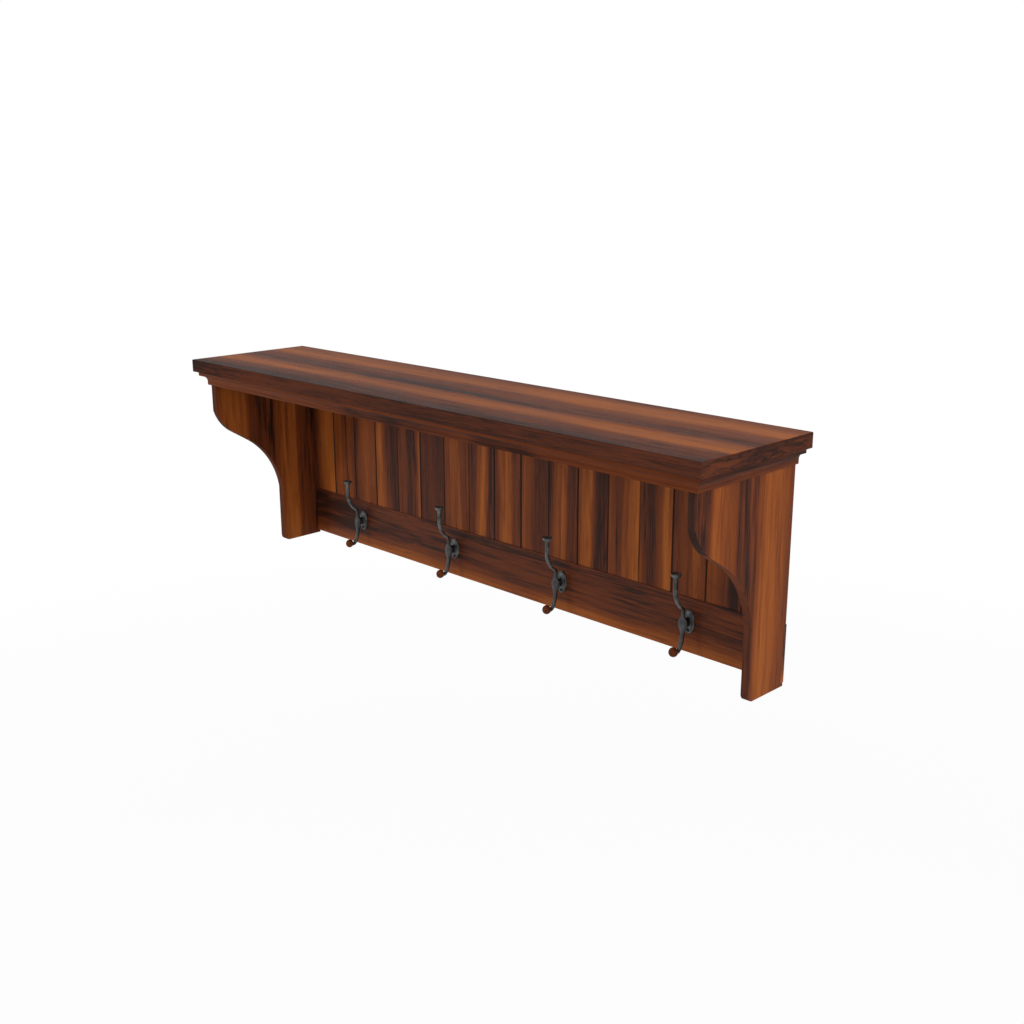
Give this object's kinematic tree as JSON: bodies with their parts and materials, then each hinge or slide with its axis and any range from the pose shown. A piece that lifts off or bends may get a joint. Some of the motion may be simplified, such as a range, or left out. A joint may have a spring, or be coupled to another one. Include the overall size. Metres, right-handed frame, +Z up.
{
  "type": "wall shelf with coat hooks",
  "caption": "Wall shelf with a moulded top board on S-curved side brackets, a plank back and a rail of cast iron coat hooks with wooden knobs.",
  "frame": {"origin": "middle of the top board's back edge, on the wall plane, at half the board's thickness", "axes": "+X along the wall towards the right end seen from the front, +Y into the wall so the front faces -Y, +Z up"},
  "size_m": [1.22, 0.259, 0.394],
  "materials": {
    "board_wood": "satin",
    "moulding_wood": "satin",
    "bracket_wood": "satin",
    "rail_wood": "satin",
    "plank_wood": "satin",
    "hook_iron": "satin black paint",
    "knob_wood": "satin",
    "screw_steel": "zinc plated",
    "dowel_wood": "bare"
  },
  "bodies": {
    "root": {"top_board": "board_wood", "front_moulding": "moulding_wood", "left_moulding": "moulding_wood", "right_moulding": "moulding_wood", "left_bracket": "bracket_wood", "right_bracket": "bracket_wood", "hook_rail": "rail_wood", "plank_01": "plank_wood", "plank_02": "plank_wood", "plank_03": "plank_wood", "plank_04": "plank_wood", "plank_05": "plank_wood", "plank_06": "plank_wood", "plank_07": "plank_wood", "plank_08": "plank_wood", "plank_09": "plank_wood", "plank_10": "plank_wood", "plank_11": "plank_wood", "plank_12": "plank_wood", "plank_13": "plank_wood", "plank_14": "plank_wood", "plank_15": "plank_wood", "plank_16": "plank_wood", "plank_17": "plank_wood", "hook_1": "hook_iron", "hook_2": "hook_iron", "hook_3": "hook_iron", "hook_4": "hook_iron", "hook_knob_1": "knob_wood", "hook_knob_2": "knob_wood", "hook_knob_3": "knob_wood", "hook_knob_4": "knob_wood", "hook_screws": "hook_iron", "rail_screws": "screw_steel", "hanger_screws": "screw_steel", "left_hanger": "screw_steel", "right_hanger": "screw_steel", "bracket_dowels": "dowel_wood"}
  },
  "joints": []
}
